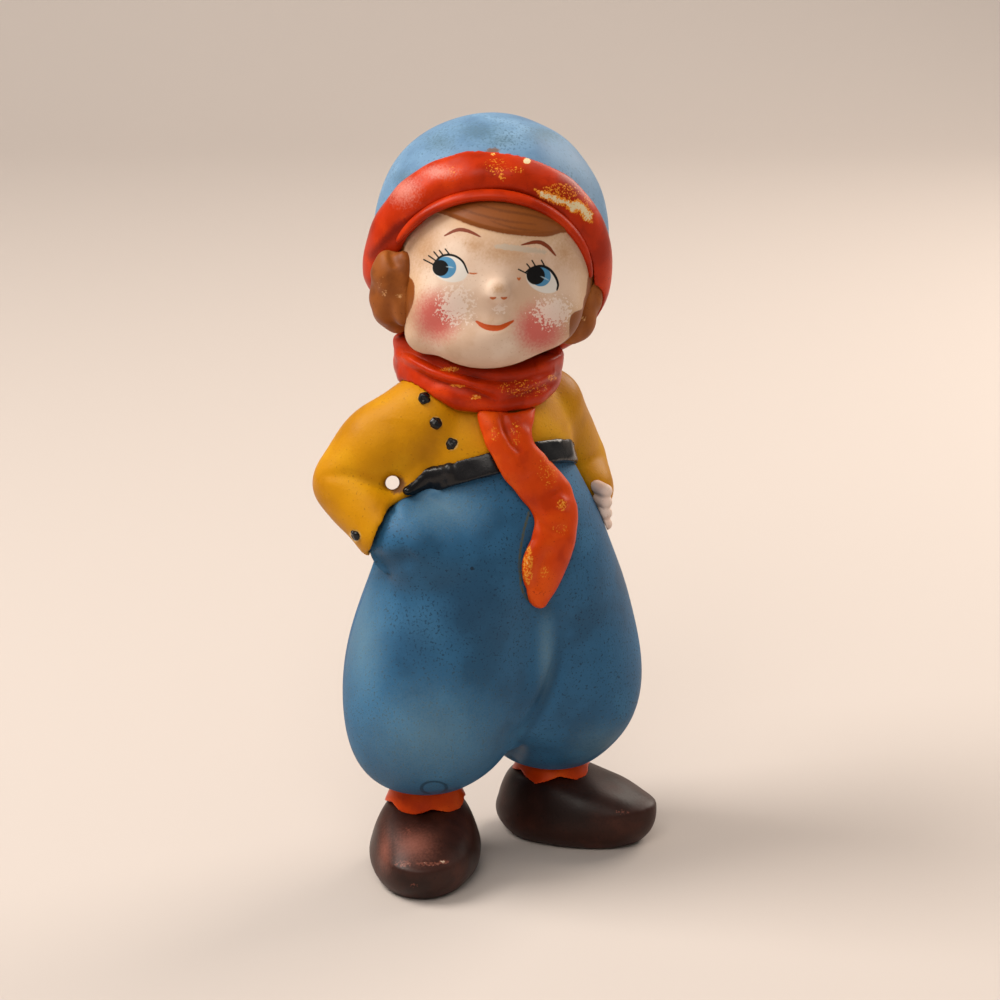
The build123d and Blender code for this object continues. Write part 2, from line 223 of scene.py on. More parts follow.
def smoothPath(points, steps=8):  # curve through given points
    points = np.array(points, float)
    ends = np.vstack((2 * points[0] - points[1], points, 2 * points[-1] - points[-2]))
    t = np.linspace(0, 1, steps, endpoint=False)[:, None]
    runs = []
    for p, q, r, s in zip(ends, ends[1:], ends[2:], ends[3:]):
        bend = (2 * p - 5 * q + 4 * r - s) * t**2 + (3 * q - p - 3 * r + s) * t**3
        runs.append(0.5 * (2 * q + (r - p) * t + bend))
    return np.vstack((*runs, points[-1]))


def gapTo(xy, path):  # px to a path, and the share of the path passed there
    best, along = np.full(len(xy), np.inf), np.zeros(len(xy))
    for step, (p, q) in enumerate(zip(path, path[1:])):
        way = q - p
        t = np.clip(((xy - p) @ way) / max(way @ way, 1e-9), 0, 1)
        gap = np.hypot(*(xy - p - t[:, None] * way).T)
        near = gap < best
        best[near] = gap[near]
        along[near] = ((step + t) / (len(path) - 1))[near]
    return best, along


def within(xy, outline):  # px inside a closed outline, minus outside it
    closed = np.vstack((outline, outline[:1]))
    gap, _ = gapTo(xy, closed)
    inside = np.zeros(len(xy), bool)
    for (x0, y0), (x1, y1) in zip(closed, closed[1:]):
        slope = (x1 - x0) / (y1 - y0) if y1 != y0 else 0.0
        inside ^= ((y0 > xy[:, 1]) != (y1 > xy[:, 1])) & (xy[:, 0] < x0 + (xy[:, 1] - y0) * slope)
    return np.where(inside, gap, -gap)


def stroke(xy, mark):  # px inside a brush stroke that thins towards its ends
    gap, along = gapTo(xy, smoothPath(mark["path"]))
    swell = np.sin(np.pi * np.clip(along, 0, 1)) ** brushSwell
    return mark["ends"] / 2 + (mark["thick"] - mark["ends"]) / 2 * swell - gap


def strokes(xy, marks):
    return np.max([stroke(xy, mark) for mark in marks], 0)


def patch(xy, spot):  # 1 in the middle of an oval patch, 0 at its rim, minus outside
    (x, y), (wide, high) = spot["at"], spot["size"]
    return 1 - np.hypot((xy[:, 0] - x) / wide, (xy[:, 1] - y) / high)


def patches(xy, spots):
    return np.max([patch(xy, spot) for spot in spots], 0)


def wornAt(xy, spots):  # wear that fades from the middle of each patch to its rim
    return np.max([spot["most"] * ease(patch(xy, spot), 0.0, patchFade) for spot in spots], 0)


def press(obj, marks):  # pushes folds in, or draws ridges out where the depth is minus
    co = places(obj)
    xy, front = pictured(obj)
    push = np.zeros(len(co))
    for mark in marks:
        gap, along = gapTo(xy, smoothPath(mark["path"]))
        taper = np.sin(np.pi * along) ** foldSwell
        push -= mark["depth"] * taper * np.exp(-((gap / (mark["width"] * pxPerMm)) ** 2))
    move(obj, co + outward(obj) * (push * front)[:, None])


def ripple(co, size, seed):  # uneven handwork, about -1 to 1, in swells of that size
    draw = np.random.default_rng(seed)
    total = np.zeros(len(co))
    for _ in range(handwork["waves"]):
        way = draw.normal(size=3)
        way *= 2 * np.pi / (size * draw.uniform(*handwork["spread"])) / np.linalg.norm(way)
        total += np.sin(co @ way + draw.uniform(0, 2 * np.pi))
    return total / math.sqrt(handwork["waves"])


def unevenly(obj, size, depth, seed):  # swells of that size and depth, in mm
    co = places(obj)
    move(obj, co + outward(obj) * (depth * ripple(co, size, seed))[:, None])


# Materials

noiseMiddle = 0.5  # what a noise texture gives on average


def paintColour(hexCode):
    srgb = [int(hexCode[at : at + 2], 16) / 255 for at in (1, 3, 5)]
    linear = [c / 12.92 if c <= 0.04045 else ((c + 0.055) / 1.055) ** 2.4 for c in srgb]
    return (*linear, 1.0)


def addNode(tree, kind, sockets, out=0, **settings):
    node = tree.nodes.new("ShaderNode" + kind)
    for key, value in settings.items():
        setattr(node, key, value)
    for key, value in sockets.items():
        if isinstance(value, bpy.types.NodeSocket):
            tree.links.new(value, node.inputs[key])
        else:
            node.inputs[key].default_value = value
    return None if out is None else node.outputs[out]


# Cold paint on cast plaster: water or oil colour brushed on, soaked in unevenly, with dark pinholes
# from the casting, rubbed ridges, dirt and painted shade in the hollows and chips down to an undercoat and
# the white plaster.
def paintedPlaster(name, paint, marks=()):
    finish = bpy.data.materials.new(name)
    finish.use_nodes = True
    tree = finish.node_tree
    tree.nodes.clear()
    where = addNode(tree, "TexCoord", {}, out="Object")
    clouds = addNode(tree, "TexNoise", {"Vector": where, "Scale": mmInM / paint["cloudMm"], "Detail": 5.0})
    grain = addNode(tree, "TexNoise", {"Vector": where, "Scale": mmInM / paint["grainMm"], "Detail": 4.0})
    ragged = addNode(tree, "Math", {0: grain, 1: noiseMiddle}, operation="SUBTRACT")
    hollow = addNode(tree, "Attribute", {}, out="Fac", attribute_name="hollow")
    wear = addNode(tree, "Attribute", {}, out="Fac", attribute_name="wear")
    cells = {"Vector": where, "Scale": mmInM / paint["pitGapMm"]}
    pitAway = addNode(tree, "TexVoronoi", cells)
    pitDraw = addNode(tree, "TexVoronoi", cells, out="Color")
    pitSpan = {"Value": pitDraw, "From Min": paint["pitFrom"], "To Max": paint["pitMm"] / paint["pitGapMm"]}
    pitSize = addNode(tree, "MapRange", pitSpan)
    pitInside = addNode(tree, "Math", {0: pitSize, 1: pitAway}, operation="SUBTRACT")
    flaked = addNode(tree, "Math", {0: ragged, 1: paint["flakeRag"], 2: wear}, operation="MULTIPLY_ADD")
    drift = {0: clouds, 1: paint["speckDrift"], 2: grain}
    specks = addNode(tree, "Math", drift, operation="MULTIPLY_ADD")
    speckEdge = noiseMiddle * (1 + paint["speckDrift"]) + paint["speckAt"]
    darkTo, middle, lightFrom = paint["cloudEdges"]

    coats = [  # what decides the share, its two ends, the colour and the most it may cover
        (clouds, darkTo, middle, paint["colour"], 1.0),
        (clouds, middle, lightFrom, paint["light"], 1.0),
        (specks, speckEdge, speckEdge + paint["speckSoft"], paint["speck"], paint["speckShare"]),
        # darker in the hollows: dirt and painted shade
        (hollow, 0.0, paint["dirtAndShadeMm"], paint["dirtAndShade"], paint["dirtAndShadeShare"]),
        (pitInside, 0.0, paint["pitSoft"], paint["pit"], paint["pitShare"]),
    ]
    for mark in marks:
        cover = addNode(tree, "Attribute", {}, out="Fac", attribute_name=mark["from"])
        cover = addNode(tree, "Math", {0: ragged, 1: mark["rag"], 2: cover}, operation="MULTIPLY_ADD")
        coats.append((cover, *mark["edge"], mark["colour"], mark.get("most", 1.0)))
    coats.append((flaked, *paint["undercoatEdges"], paint["undercoat"], 1.0))
    coats.append((flaked, *paint["plasterEdges"], paint["plaster"], 1.0))

    colour = paintColour(paint["dark"])
    for value, low, high, hexCode, most in coats:
        span = {"Value": value, "From Min": low, "From Max": high, "To Max": most}
        share = addNode(tree, "MapRange", span, interpolation_type="SMOOTHSTEP")
        layers = {0: share, 6: colour, 7: paintColour(hexCode)}
        colour = addNode(tree, "Mix", layers, out=2, data_type="RGBA")
    sheen = {"Value": clouds, "From Min": paint["sheenEdges"][0], "From Max": paint["sheenEdges"][1]}
    sheen.update({"To Min": paint["roughness"][0], "To Max": paint["roughness"][1]})
    roughness = addNode(tree, "MapRange", sheen)
    rise = paint["grainMm"] / (3 * mmInM)  # a third of the grain's size
    tooth = addNode(tree, "Bump", {"Height": grain, "Strength": paint["tooth"], "Distance": rise})
    dressed = {"Base Color": colour, "Roughness": roughness, "Normal": tooth, "IOR": paint["ior"]}
    surface = addNode(tree, "BsdfPrincipled", dressed)
    addNode(tree, "OutputMaterial", {"Surface": surface}, out=None)
    return finish


plainPaint = {  # what the paints share; edges are the values between which one coat gives way to the next
    "cloudMm": 16.0, "cloudEdges": (0.36, 0.5, 0.68), "grainMm": 0.8, "tooth": 0.2,
    "speckAt": 0.14, "speckDrift": 0.3, "speckSoft": 0.1, "speckShare": 0.6,
    "pitGapMm": 7.0, "pitMm": 0.0, "pitFrom": 0.45, "pitSoft": 0.025, "pitShare": 0.8, "pit": "#16212B",
    "dirtAndShadeMm": 0.7, "dirtAndShadeShare": 0.8, "flakeRag": 0.9, "ior": 1.3,
    "roughness": (0.45, 0.6), "sheenEdges": (0.35, 0.65),
    "undercoat": "#D9C3A2", "undercoatEdges": (0.3, 0.42), "plaster": "#E9DCC8", "plasterEdges": (0.5, 0.58),
}

# Matt blue distemper on plaster: chalky and mottled, so it scatters light and hides most reflections
blueDistemper = {
    **plainPaint, "dark": "#255274", "colour": "#2C5F85", "light": "#376D94", "speck": "#132330",
    "dirtAndShade": "#1D3C54", "dirtAndShadeMm": 1.6, "pitMm": 0.8, "cloudMm": 24.0, "grainMm": 0.75, "tooth": 0.35,
    "speckAt": 0.07, "speckDrift": 0.12, "speckShare": 0.65, "undercoat": "#9DB4C4",
}
# Faded blue distemper on plaster: paler, with grey-green grime where hands have held it
capDistemper = {
    **plainPaint, "dark": "#6084A6", "colour": "#6C91B2", "light": "#7EA2C1", "speck": "#4D6F89",
    "dirtAndShade": "#4C6F8E", "pitMm": 0.4, "cloudMm": 14.0, "speckAt": 0.07,
}
# Orange-red oil paint on plaster: satin, thin on the ridges, over a yellow undercoat
redOil = {
    **plainPaint, "dark": "#A02402", "colour": "#B82D03", "light": "#CC3A06", "speck": "#8A1B02",
    "dirtAndShade": "#640F02", "dirtAndShadeMm": 0.5, "dirtAndShadeShare": 0.6, "undercoat": "#E88F2A", "plaster": "#E3D0A6",
    "roughness": (0.3, 0.42), "cloudMm": 12.0, "grainMm": 0.65, "ior": 1.24,
}
# Orange oil paint on plaster: the same brush loaded with a brighter red, on the scarf's end and the socks
orangeOil = {**redOil, "dark": "#BE3603", "colour": "#D24204", "light": "#DF5209", "speck": "#A62A02"}
# Mustard distemper on plaster: warm and even, browner in the hollows with dirt and painted shade
mustardDistemper = {
    **plainPaint, "dark": "#B87A03", "colour": "#C58604", "light": "#D09409", "speck": "#875205",
    "dirtAndShade": "#8A5504", "roughness": (0.4, 0.55), "cloudMm": 20.0, "pitMm": 0.4, "dirtAndShadeMm": 1.4,
    "pit": "#6A400E", "ior": 1.22, "tooth": 0.45,
}
# Black japan on plaster: a smooth dark varnish that gives sharp small highlights
blackJapan = {
    **plainPaint, "dark": "#0C0B0D", "colour": "#111012", "light": "#1A191B", "speck": "#242324",
    "dirtAndShade": "#0B0A0B", "roughness": (0.16, 0.3), "undercoat": "#6B6864", "plaster": "#A39C90", "ior": 1.38,
}
# Brown hair colour on plaster: thin brushed wash, darker where the brush paused
hairWash = {
    **plainPaint, "dark": "#7E4113", "colour": "#924F1A", "light": "#A56028", "speck": "#5E2D0A",
    "dirtAndShade": "#552809", "cloudMm": 9.0, "undercoat": "#CF9A62",
}
# Flesh distemper on plaster: pale and stained with age, as matt as eggshell
fleshDistemper = {
    **plainPaint, "dark": "#CDAC92", "colour": "#D8BBA4", "light": "#E1C9B5", "speck": "#B08A66",
    "dirtAndShade": "#B58A64", "roughness": (0.4, 0.55), "cloudMm": 15.0, "dirtAndShadeMm": 1.2, "speckShare": 0.4,
    "undercoat": "#F0E6DC", "plaster": "#F4EDE5",
}
# Brown varnish on plaster: dark and satin, worn to a red ground and scuffed at the toes, with a painted
# highlight on one clog and painted shade on the other
clogVarnish = {
    **plainPaint, "dark": "#27120C", "colour": "#351A12", "light": "#46241A", "speck": "#1A0C08",
    "dirtAndShade": "#160A07", "roughness": (0.38, 0.5), "cloudMm": 13.0, "ior": 1.32,
    "undercoat": "#6E3D30", "plaster": "#C9B299",
}
# Rusted iron wire: drawn, dull and brown, hidden in the ankles
rustedIron = {"colour": "#5A4A42", "metallic": 1.0, "roughness": 0.6}
# Matt paper: an even pale sheet that takes soft shadows and hardly shines
mattPaper = {"colour": "#C9BFB8", "metallic": 0.0, "roughness": 0.8}


def plainFinish(name, look):  # one even colour
    finish = bpy.data.materials.new(name)
    finish.use_nodes = True
    shader = finish.node_tree.nodes["Principled BSDF"]
    shader.inputs["Base Color"].default_value = paintColour(look["colour"])
    shader.inputs["Metallic"].default_value = look["metallic"]
    shader.inputs["Roughness"].default_value = look["roughness"]
    return finish


# Trousers

trousers = {
    "voxel": 0.85,
    "rub": 40,
    "softRub": 220,
    "softFade": 0.5,
    "soft": [  # px; where the cast runs from one form into the next without a crease
        {"at": (548, 690), "size": (62, 120)}, {"at": (405, 545), "size": (52, 62)},
        {"at": (470, 690), "size": (70, 90)},
    ],
    "uneven": {"size": 26.0, "depth": 0.2, "seed": 3},
    "hollowRub": 30,
    "folds": [
        {"path": [(566, 612), (562, 650), (553, 682), (540, 712), (522, 740), (506, 770)],
         "width": 2.6, "depth": 2.2},
        {"path": [(551, 605), (549, 650), (534, 690), (510, 726)], "width": 3.6, "depth": -1.1},
        {"path": [(396, 512), (408, 501), (424, 494), (442, 490)], "width": 2.5, "depth": -2.2},
        {"path": [(576, 640), (570, 690), (566, 722)], "width": 2.2, "depth": 0.35},
        {"path": [(366, 556), (384, 566), (402, 562), (412, 552)], "width": 3.6, "depth": 2.4},
        {"path": [(412, 520), (422, 545), (428, 566)], "width": 4.0, "depth": -0.5},
    ],
    "creaseShadeWide": 8.0,  # px; width of the painted shade along the main fold
    "ring": {"at": (434, 788), "size": (12.5, 6.5)},
    "ringSharp": 5.0,  # its line fades out a fifth of the radius to each side
    # px; painted shade, darker blue under the cuff and across the middle of the trousers
    "shadePatches": [
        {"at": (400, 556), "size": (22, 14)}, {"at": (470, 610), "size": (60, 50)},
        {"at": (414, 640), "size": (44, 56)},
    ],
    # px; dust, and painted sheen where light falls on the left edge and the top of the trousers
    "dustAndSheen": [
        {"at": (362, 640), "size": (40, 110)}, {"at": (430, 735), "size": (110, 80)},
        {"at": (610, 750), "size": (60, 40)}, {"at": (546, 650), "size": (14, 70)},
        {"at": (440, 508), "size": (70, 40)},
    ],
    "tailRim": [(529, 512), (523, 535), (519.5, 564), (523, 592), (537, 606), (547, 602), (556, 582)],
    "tailRimWide": 2.0,  # px; the stained line beside the scarf's tail
}


def makeTrousers():
    obj = castFrom("baggyTrousers", ["trousers"], trousers["voxel"], trousers["rub"])
    co = places(obj)
    xy, front = pictured(obj)
    soft = ease(patches(xy, trousers["soft"]), 0.0, trousers["softFade"]) * front
    move(obj, evened(obj, co, trousers["softRub"], 1 - soft))
    press(obj, trousers["folds"])
    unevenly(obj, **trousers["uneven"])
    xy, front = pictured(obj)
    hidden = hideMarks * (1 - front)
    rimGap, _ = gapTo(xy, smoothPath(trousers["tailRim"]))
    creaseShadeGap, along = gapTo(xy, smoothPath(trousers["folds"][0]["path"]))
    store(obj, "creaseShade", np.sin(np.pi * along) - creaseShadeGap / trousers["creaseShadeWide"] - hidden)
    store(obj, "ring", 1 - np.abs(patch(xy, trousers["ring"])) * trousers["ringSharp"] - hidden)
    store(obj, "trouserShade", patches(xy, trousers["shadePatches"]) - hidden)
    store(obj, "dustAndSheen", patches(xy, trousers["dustAndSheen"]) - hidden)
    store(obj, "tailRim", trousers["tailRimWide"] - rimGap - hidden)
    weather(obj, trousers["hollowRub"])
    marks = [
        # dust, and painted sheen in a paler blue
        {"from": "dustAndSheen", "rag": 0.9, "edge": (0.0, 1.3), "colour": "#7496A6", "most": 0.5},
        # painted shade
        {"from": "trouserShade", "rag": 0.8, "edge": (0.0, 1.0), "colour": "#1C3F5C", "most": 0.5},
        # painted shade along the main fold's valley
        {"from": "creaseShade", "rag": 0.4, "edge": (0.0, 1.2), "colour": "#1B3F5C", "most": 0.6},
        {"from": "ring", "rag": 0.4, "edge": (0.0, 0.6), "colour": "#1E3B50", "most": 0.85},
        {"from": "tailRim", "rag": 2.0, "edge": (0.0, 1.6), "colour": "#5B5A34", "most": 0.8},
    ]
    finish = paintedPlaster("matt blue distemper on plaster", blueDistemper, marks)
    fitted(obj, finish, "blue_paint", "trousers")


# Jacket and sleeves, one skin

jacket = {
    "voxel": 0.75,
    "rub": 30,
    "uneven": {"size": 18.0, "depth": 0.2, "seed": 5},
    "hollowRub": 26,
    "swell": {"at": (-39.3, 3.3, 151.0), "reach": 13.0, "rise": 3.8},  # mm; fullness of the right upper arm
    "folds": [
        {"path": [(318, 477), (345, 475), (372, 482), (390, 489)], "width": 1.8, "depth": 0.8},
        {"path": [(326, 488), (350, 490), (380, 500)], "width": 3.0, "depth": -0.4},
        {"path": [(398, 420), (397, 445), (398, 470)], "width": 4.5, "depth": 0.6},
        {"path": [(577, 472), (590, 460), (604, 452)], "width": 1.8, "depth": 0.5},
    ],
    "buttons": [(424, 398), (436, 423), (452, 444), (355, 536)],
    "buttonHighlight": 7.0,  # px, outside of the pale ring painted round each button as a highlight
    "holeAt": (397, 485),
    "holeRim": 11.0,
}


def makeJacket():
    nodes = ["jacket_body", "right_sleeve", "left_sleeve"]
    obj = castFrom("blendedJacket", nodes, jacket["voxel"], jacket["rub"])
    co, swell = places(obj), jacket["swell"]
    near = np.exp(-(np.linalg.norm(co - swell["at"], axis=1) / swell["reach"]) ** 2)
    move(obj, co + outward(obj) * (swell["rise"] * near)[:, None])
    press(obj, jacket["folds"])
    unevenly(obj, **jacket["uneven"])
    xy, front = pictured(obj)
    away = np.min([np.hypot(*(xy - at).T) for at in jacket["buttons"]], 0)
    store(obj, "buttonHighlight", jacket["buttonHighlight"] - away - hideMarks * (1 - front))
    holeAway = np.hypot(*(xy - jacket["holeAt"]).T)
    store(obj, "holeRim", jacket["holeRim"] - holeAway)
    weather(obj, jacket["hollowRub"])
    marks = [
        # painted highlight: a pale ring round each button
        {"from": "buttonHighlight", "rag": 3.0, "edge": (0.0, 2.0), "colour": "#EFCF8A", "most": 0.5},
        {"from": "holeRim", "rag": 6.0, "edge": (0.0, 5.0), "colour": "#7A5330"},
    ]
    finish = paintedPlaster("mustard distemper on plaster", mustardDistemper, marks)
    fitted(obj, finish, "yellow_paint", *nodes)


# Belt, buttons and left hand

smallWork = {
    "beltVoxel": 0.45,
    "beltRub": 14,
    "beltEnd": [  # mm; the strap runs on and thins towards the gap under the arm
        {"at": (-33.2, -15.4, 133.3), "radii": (2.0, 1.8, 1.6)},
        {"at": (-31.0, -14.8, 133.8), "radii": (2.4, 2.2, 2.7)},
        {"at": (-28.6, -14.6, 134.8), "radii": (2.6, 2.6, 3.6)},
        {"at": (-26.4, -15.6, 135.9), "radii": (2.6, 2.6, 4.2)},
        {"at": (-24.8, -17.6, 136.7), "radii": (2.5, 2.5, 4.2)},
        {"at": (-23.2, -19.6, 137.4), "radii": (2.5, 2.5, 4.1)},
        {"at": (-21.8, -21.7, 138.4), "radii": (2.4, 2.4, 4.0)},
    ],
    "beltUneven": {"size": 9.0, "depth": 0.2, "seed": 7},
    "beltHollowRub": 8,
    "beltRidge": {"ridge": 0.26, "ridgeMm": 0.5},
    "buttonVoxel": 0.2,
    "buttonRub": 4,
    "buttonShare": 0.02,  # of the largest; smaller shells are crumbs
    "buttonUneven": {"size": 2.2, "depth": 0.22, "seed": 8},
    "buttonHollowRub": 4,
    "handVoxel": 0.35,
    "handRub": 5,
    "handHollowRub": 8,
}


def makeBelt(finish):
    ends = smallWork["beltEnd"]
    obj = castFrom("japannedBelt", ["belt"], smallWork["beltVoxel"], smallWork["beltRub"], ends)
    unevenly(obj, **smallWork["beltUneven"])
    weather(obj, smallWork["beltHollowRub"], **smallWork["beltRidge"])
    fitted(obj, finish, "black_paint", "belt")


def makeButtons(finish):
    voxel, rub, share = smallWork["buttonVoxel"], smallWork["buttonRub"], smallWork["buttonShare"]
    obj = castFrom("studButtons", ["jacket_buttons"], voxel, rub, share=share)
    unevenly(obj, **smallWork["buttonUneven"])
    weather(obj, smallWork["buttonHollowRub"])
    fitted(obj, finish, "black_paint", "jacket_buttons")


def makeHand():
    obj = castFrom("leftHand", ["left_hand"], smallWork["handVoxel"], smallWork["handRub"])
    weather(obj, smallWork["handHollowRub"])
    # Pink flesh distemper on plaster: cleaner and rosier than the face
    hand = {**fleshDistemper, "dark": "#E0BCA8", "colour": "#EBCDBC", "light": "#F1DACC", "dirtAndShadeMm": 0.4}
    fitted(obj, paintedPlaster("pink flesh distemper on plaster", hand), "flesh_paint", "left_hand")


# Scarf

scarf = {
    "voxel": 0.5,
    "rub": 14,
    "uneven": {"size": 7.0, "depth": 0.15, "seed": 11},
    "hollowRub": 10,
    "tailRidge": 0.27,  # wear along the ridges of the tail
    "wrapFolds": [
        {"path": [(388, 338), (405, 342), (428, 349), (452, 358)], "width": 2.2, "depth": -2.0},
        {"path": [(536, 366), (550, 361), (566, 350)], "width": 2.0, "depth": -1.6},
        {"path": [(396, 345), (433, 363), (468, 374), (508, 381), (554, 370)], "width": 1.5, "depth": 2.0},
        {"path": [(394, 358), (428, 379), (460, 388), (487, 398), (497, 404)], "width": 1.3, "depth": 1.6},
        {"path": [(402, 354), (432, 371), (468, 382), (502, 390)], "width": 2.2, "depth": -1.2},
        {"path": [(494, 403), (520, 397), (546, 386), (560, 374)], "width": 1.4, "depth": 1.3},
        {"path": [(408, 384), (440, 396), (470, 404)], "width": 2.2, "depth": -0.6},
    ],
    "tailFolds": [
        {"path": [(503, 406), (505, 422), (512, 440), (522, 454)], "width": 1.4, "depth": 1.4},
        {"path": [(490, 412), (495, 430), (508, 452), (526, 478)], "width": 2.4, "depth": -0.7},
        {"path": [(520, 425), (533, 446), (548, 470), (556, 490)], "width": 2.0, "depth": -0.8},
        {"path": [(556, 494), (562, 503), (560, 510)], "width": 2.0, "depth": -1.2},
        {"path": [(530, 500), (540, 518), (556, 530), (568, 530)], "width": 1.8, "depth": 1.0},
        {"path": [(528, 540), (526, 565), (530, 588)], "width": 2.0, "depth": -0.9},
        {"path": [(552, 548), (543, 568), (537, 590)], "width": 2.2, "depth": 0.9},
    ],
    "worn": [
        {"at": (450, 369), "size": (14, 4), "most": 0.42}, {"at": (458, 386), "size": (12, 3), "most": 0.36},
        {"at": (476, 397), "size": (9, 4), "most": 0.4}, {"at": (525, 388), "size": (40, 14), "most": 0.26},
        {"at": (552, 378), "size": (8, 5), "most": 0.34}, {"at": (516, 432), "size": (9, 20), "most": 0.27},
        {"at": (495, 434), "size": (7, 12), "most": 0.3}, {"at": (548, 470), "size": (16, 28), "most": 0.26},
        {"at": (562, 505), "size": (8, 9), "most": 0.36}, {"at": (560, 530), "size": (14, 10), "most": 0.24},
        {"at": (528, 565), "size": (8, 30), "most": 0.38}, {"at": (545, 572), "size": (8, 10), "most": 0.3},
    ],
}


def makeScarf(red, orange):
    pieces = [
        ("scarfWrap", ["scarf_upper_fold", "scarf_lower_fold"], scarf["wrapFolds"], 0.0, red),
        ("scarfTail", ["scarf_tail"], scarf["tailFolds"], scarf["tailRidge"], orange),
    ]
    for name, nodes, folds, ridge, finish in pieces:
        obj = castFrom(name, nodes, scarf["voxel"], scarf["rub"])
        press(obj, folds)
        unevenly(obj, **scarf["uneven"])
        xy, front = pictured(obj)
        weather(obj, scarf["hollowRub"], wornAt(xy, scarf["worn"]) * front, ridge)
        fitted(obj, finish, "red_paint", *nodes)


# Head with its painted face, and the fringe in low relief on the forehead

face = {
    "voxel": 0.59,
    "rub": 24,
    "cheekRub": 160,
    "hollowRub": 20,
    "jaw": [  # mm; fullness beside the chin
        {"at": (-16.5, -11.5, 184.7), "radii": (10.0, 10.0, 9.0)},
        {"at": (-21.9, -8.4, 182.2), "radii": (8.0, 8.0, 8.0)},
        {"at": (-5.4, -20.0, 183.0), "radii": (21.0, 18.0, 12.0)},
    ],
    "noseAt": (499, 290),
    "noseClear": 19.0,  # px round the nose that the long rubbing leaves alone
    "noseHeld": 0.6,  # share of that within which nothing gives
    "detail": (414, 214, 572, 340),  # px box that is cut finer for the brush work
    "detailSeen": 0.1,  # how far a point has to face the eye to be cut
    "outline": [  # px; the bare skin inside the hair
        (398, 205), (441, 214), (475, 227), (511, 235), (546, 237), (566, 233), (606, 240), (604, 268),
        (590, 270), (586, 292), (584, 307), (571, 315), (569, 335), (568, 352), (540, 385), (440, 375),
        (398, 345), (400, 333), (413, 304), (414, 283), (405, 272), (401, 258), (404, 244), (380, 232),
    ],
    "hairHide": 60.0,  # px by which the side turned from the eye counts as hair
    "fringeRise": 1.1,  # mm
    "fringeEdge": (-1.0, 4.0),  # px across the outline over which it rises
    "fringeFrom": (205.0, 210.0),  # mm up, so that only the forehead's hair rises
    "lipSink": 0.35,  # mm
    "lipWide": 4.0,  # px
    "tanWide": 26.0,  # px inward from the hair
    "irisOver": 0.5,  # px by which an iris may run over its white
    "brows": [
        {"path": [(444, 236), (457, 230), (468, 231), (481, 237)], "thick": 3.8, "ends": 0.6},
        {"path": [(521, 245), (537, 242), (547, 246), (556, 256)], "thick": 4.2, "ends": 0.6},
    ],
    "whites": [
        [(433, 265), (439, 258), (446, 255), (455, 256), (463, 262), (468, 271), (464, 279), (455, 282),
         (446, 281), (438, 277), (433, 271)],
        [(526, 272), (532, 268), (541, 266), (549, 269), (555, 276), (558, 284), (556, 291), (549, 293),
         (541, 292), (532, 287), (527, 280)],
    ],
    "irises": [{"at": (445.5, 267.5), "radius": 10.8}, {"at": (540.7, 276.2), "radius": 10.2}],
    "pupils": [{"at": (440.5, 268.0), "radius": 8.0}, {"at": (535.7, 275.4), "radius": 9.2}],
    "lids": [
        {"path": [(433, 265), (439, 258), (446, 255), (455, 256), (463, 262), (468, 273)],
         "thick": 2.3, "ends": 1.4},
        {"path": [(526, 272), (532, 268), (541, 266), (549, 269), (555, 276), (558, 284), (557, 290)],
         "thick": 2.7, "ends": 1.5},
    ],
    "lashes": [
        [(423.6, 259.5), (433, 264.3)], [(428.6, 255.7), (435.4, 260.4)], [(433.9, 251.8), (438.4, 257.3)],
        [(439.3, 250.4), (443, 255)], [(445.2, 249), (450, 255)], [(518.4, 269.3), (526.4, 273.2)],
        [(526.8, 263.9), (530.9, 269)], [(532, 260.4), (536, 267)], [(541.4, 260.2), (544.8, 266.2)],
    ],
    "lashThick": 1.5,
    "corners": [
        {"path": [(469, 273), (473, 273.6), (477, 273.4)], "thick": 1.7, "ends": 1.0},
        {"path": [(517.5, 278), (519, 279.5), (520, 278)], "thick": 2.2, "ends": 1.5},
        {"path": [(490, 297.6), (493, 298.4), (496, 297.4)], "thick": 2.6, "ends": 0.8},
        {"path": [(501, 297.6), (504, 298.4), (507, 297.4)], "thick": 2.6, "ends": 0.8},
    ],
    "mouth": {
        "path": [(476, 321), (484, 326), (493, 328), (502, 327), (513.5, 321)], "thick": 6.0, "ends": 1.4,
    },
    "rouge": [{"at": (437, 316), "size": (33, 36)}, {"at": (540, 328), "size": (35, 35)}],
    "worn": [
        {"at": (455, 305), "size": (24, 26)}, {"at": (553, 312), "size": (27, 21)},
        {"at": (500, 309), "size": (9, 7)},
    ],
    "smear": {"path": [(495, 246), (515, 248), (545, 252)], "thick": 7.0, "ends": 4.0},
    # px; stains, and painted shade on the temples and forehead below the brim
    "stainsAndShade": [
        {"at": (424, 248), "size": (26, 36)}, {"at": (475, 245), "size": (18, 14)},
        {"at": (565, 252), "size": (24, 24)}, {"at": (499, 289), "size": (12, 10)},
        {"at": (503, 252), "size": (46, 18)},
    ],
    "glints": [
        {"path": [(446, 266.7), (450, 267), (454, 268)], "thick": 1.5, "ends": 0.6},
        {"path": [(540.5, 276.2), (545, 278.4), (549, 280.4)], "thick": 1.5, "ends": 0.6},
    ],
    "strands": [
        {"path": [(452, 206), (475, 215), (505, 222), (535, 226)], "thick": 2.6, "ends": 0.6},
        {"path": [(474, 205), (500, 212), (530, 217), (552, 223)], "thick": 3.0, "ends": 0.6},
        {"path": [(494, 204), (515, 208), (540, 213)], "thick": 2.4, "ends": 0.6},
        {"path": [(490, 222), (512, 229), (536, 232)], "thick": 2.2, "ends": 0.6},
    ],
}


